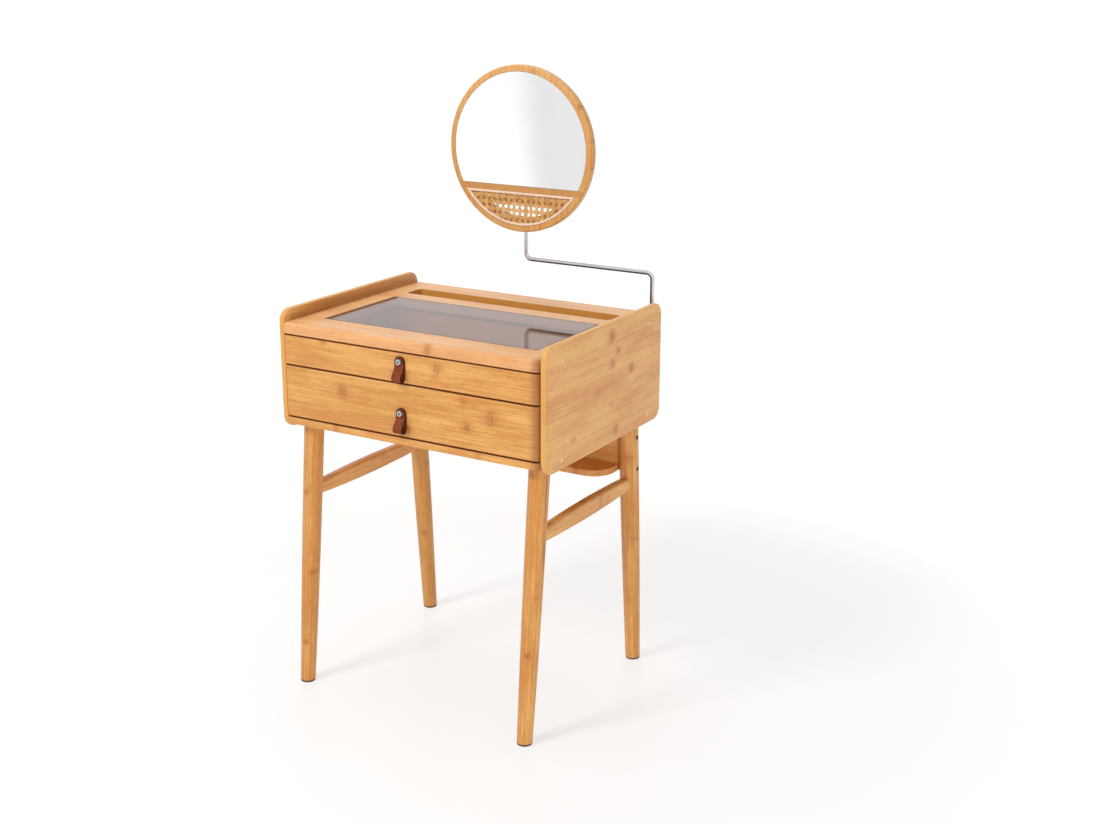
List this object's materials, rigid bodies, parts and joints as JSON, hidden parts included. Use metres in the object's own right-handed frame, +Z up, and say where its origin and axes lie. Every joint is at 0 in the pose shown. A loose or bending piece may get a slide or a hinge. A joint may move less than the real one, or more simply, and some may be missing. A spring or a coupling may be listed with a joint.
{
  "type": "dressing table",
  "caption": "Bamboo dressing table with splayed legs, stacked drawers, a glazed display window in its top and a round mirror on a swivelling bent rod.",
  "frame": {"origin": "on the floor under the middle of the overall box, which is the middle of the case", "axes": "+Z up, -Y towards the user who sits in front of the drawers, +X to that user's right where the mirror rod stands"},
  "size_m": [0.6, 0.4952, 1.2137],
  "materials": {
    "bamboo": "satin clear lacquer over laminated bamboo strips",
    "bamboo_ply": "thin bamboo plywood, matt",
    "pale_wood": "pale end grain of dowels",
    "smoked_glass": "polished smoke-tinted float glass",
    "mirror_glass": "silvered mirror glass",
    "cane": "woven cane webbing",
    "reed": "split reed piping",
    "leather": "smooth brown strap leather with burnished edges",
    "steel": "satin nickel-plated steel",
    "dark_steel": "blackened steel",
    "felt": "dark glide pad"
  },
  "bodies": {
    "case": {"left_side_panel": "bamboo", "right_side_panel": "bamboo", "dowel_left_upper_front": "pale_wood", "dowel_left_upper_rear": "pale_wood", "dowel_left_lower_front": "pale_wood", "dowel_left_lower_rear": "pale_wood", "dowel_right_upper_front": "pale_wood", "dowel_right_upper_rear": "pale_wood", "dowel_right_lower_front": "pale_wood", "dowel_right_lower_rear": "pale_wood", "top_board": "bamboo", "glass_top": "smoked_glass", "bottom_board": "bamboo", "back_panel": "bamboo_ply", "trough_floor": "bamboo_ply", "trough_front_wall": "bamboo", "trough_rear_wall": "bamboo", "upper_runner_left": "bamboo", "upper_runner_right": "bamboo", "lower_runner_left": "bamboo", "lower_runner_right": "bamboo", "front_left_leg": "bamboo", "front_right_leg": "bamboo", "rear_left_leg": "bamboo", "rear_right_leg": "bamboo", "front_left_foot_pad": "felt", "front_right_foot_pad": "felt", "rear_left_foot_pad": "felt", "rear_right_foot_pad": "felt", "left_stretcher": "bamboo", "right_stretcher": "bamboo", "rear_shelf_back": "bamboo", "rear_shelf_board": "bamboo", "shelf_bolt_high_left": "dark_steel", "shelf_bolt_high_right": "dark_steel", "shelf_bolt_low_left": "dark_steel", "shelf_bolt_low_right": "dark_steel", "rod_socket": "bamboo"},
    "upper_drawer": {"upper_drawer_front": "bamboo", "upper_drawer_left_side": "bamboo", "upper_drawer_right_side": "bamboo", "upper_drawer_back": "bamboo", "upper_drawer_floor": "bamboo_ply", "upper_pull_strap": "leather", "upper_pull_screw": "steel"},
    "lower_drawer": {"lower_drawer_front": "bamboo", "lower_drawer_left_side": "bamboo", "lower_drawer_right_side": "bamboo", "lower_drawer_back": "bamboo", "lower_drawer_floor": "bamboo_ply", "lower_pull_strap": "leather", "lower_pull_screw": "steel"},
    "mirror_arm": {"mirror_rod": "steel"},
    "mirror": {"mirror_frame": "bamboo", "mirror_glass": "mirror_glass", "mirror_backing": "bamboo_ply", "cane_panel": "cane", "cane_piping": "reed", "mirror_hub": "bamboo"}
  },
  "joints": [
    {"name": "upper_drawer_slide", "type": "slide", "parent": "case", "child": "upper_drawer", "axis": [0, -1, 0], "range_m": [0, 0.2]},
    {"name": "lower_drawer_slide", "type": "slide", "parent": "case", "child": "lower_drawer", "axis": [0, -1, 0], "range_m": [0, 0.3]},
    {"name": "arm_swivel", "type": "hinge", "parent": "case", "child": "mirror_arm", "pos_m": [0.2733, 0.232, 0.7368], "axis": [0, 0, 1], "continuous": true},
    {"name": "mirror_swivel", "type": "hinge", "parent": "mirror_arm", "child": "mirror", "pos_m": [-0.0195, 0.232, 1.0265], "axis": [0, 0, 1], "continuous": true}
  ]
}
